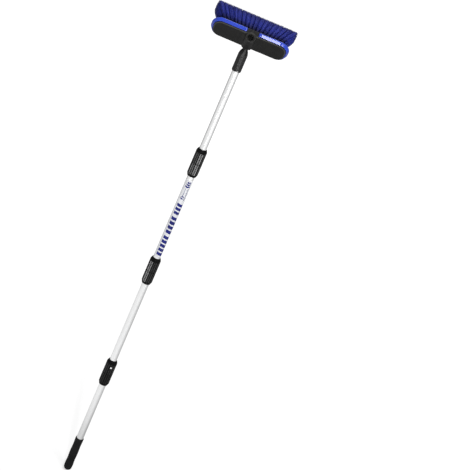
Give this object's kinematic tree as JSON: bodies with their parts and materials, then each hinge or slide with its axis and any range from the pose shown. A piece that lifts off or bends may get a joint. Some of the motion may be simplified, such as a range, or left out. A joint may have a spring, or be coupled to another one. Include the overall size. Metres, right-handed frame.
{
  "type": "car wash brush",
  "caption": "Long-handled wash brush: a screw-together pole with ribbed collars and a foam grip, and a soft-edged bristle head with an angled socket on each side.",
  "frame": {"origin": "on the pole's axis, at the butt of the foam grip", "axes": "+Z along the pole to the head, X along the head's length, -Y the side that the cover and the spare socket face"},
  "size_m": [0.2452, 0.1124, 1.596],
  "materials": {
    "grip_foam": "matt black foam with a faint grain",
    "collar_plastic": "black, moulded, low sheen",
    "block_plastic": "dark grey-black with a fine moulded grain",
    "tube_aluminium": "pale satin",
    "screw_steel": "bright plated",
    "bumper_rubber": "glossy blue",
    "bristle_fibre": "deep blue fibre"
  },
  "bodies": {
    "grip_section": {"grip_sleeve": "grip_foam", "grip_tube": "tube_aluminium", "male_collar_1": "collar_plastic", "male_screw_1": "screw_steel"},
    "section_2": {"socket_collar_2": "collar_plastic", "socket_screw_2": "screw_steel", "lower_tube": "tube_aluminium", "male_collar_2": "collar_plastic", "male_screw_2": "screw_steel"},
    "section_3": {"socket_collar_3": "collar_plastic", "socket_screw_3": "screw_steel", "label_tube": "tube_aluminium", "male_collar_3": "collar_plastic", "male_screw_3": "screw_steel"},
    "section_4": {"socket_collar_4": "collar_plastic", "socket_screw_4": "screw_steel", "upper_tube": "tube_aluminium", "tip_plug": "collar_plastic", "tip_screw": "screw_steel"},
    "head": {"brush_block": "block_plastic", "bumper_left": "bumper_rubber", "bumper_right": "bumper_rubber", "bristle_row_1": "bristle_fibre", "bristle_row_2": "bristle_fibre", "bristle_row_3": "bristle_fibre", "bristle_row_4": "bristle_fibre", "bristle_row_5": "bristle_fibre"}
  },
  "joints": [
    {"name": "coupling_1", "type": "slide", "parent": "grip_section", "child": "section_2", "axis": [0, 0, 1], "range_m": [0, 0.018]},
    {"name": "coupling_2", "type": "slide", "parent": "section_2", "child": "section_3", "axis": [0, 0, 1], "range_m": [0, 0.018]},
    {"name": "coupling_3", "type": "slide", "parent": "section_3", "child": "section_4", "axis": [0, 0, 1], "range_m": [0, 0.018]},
    {"name": "head_thread", "type": "hinge", "parent": "section_4", "child": "head", "pos_m": [0, 0, 1.5003], "axis": [0, 0, 1], "range_deg": [0, 1440]}
  ]
}
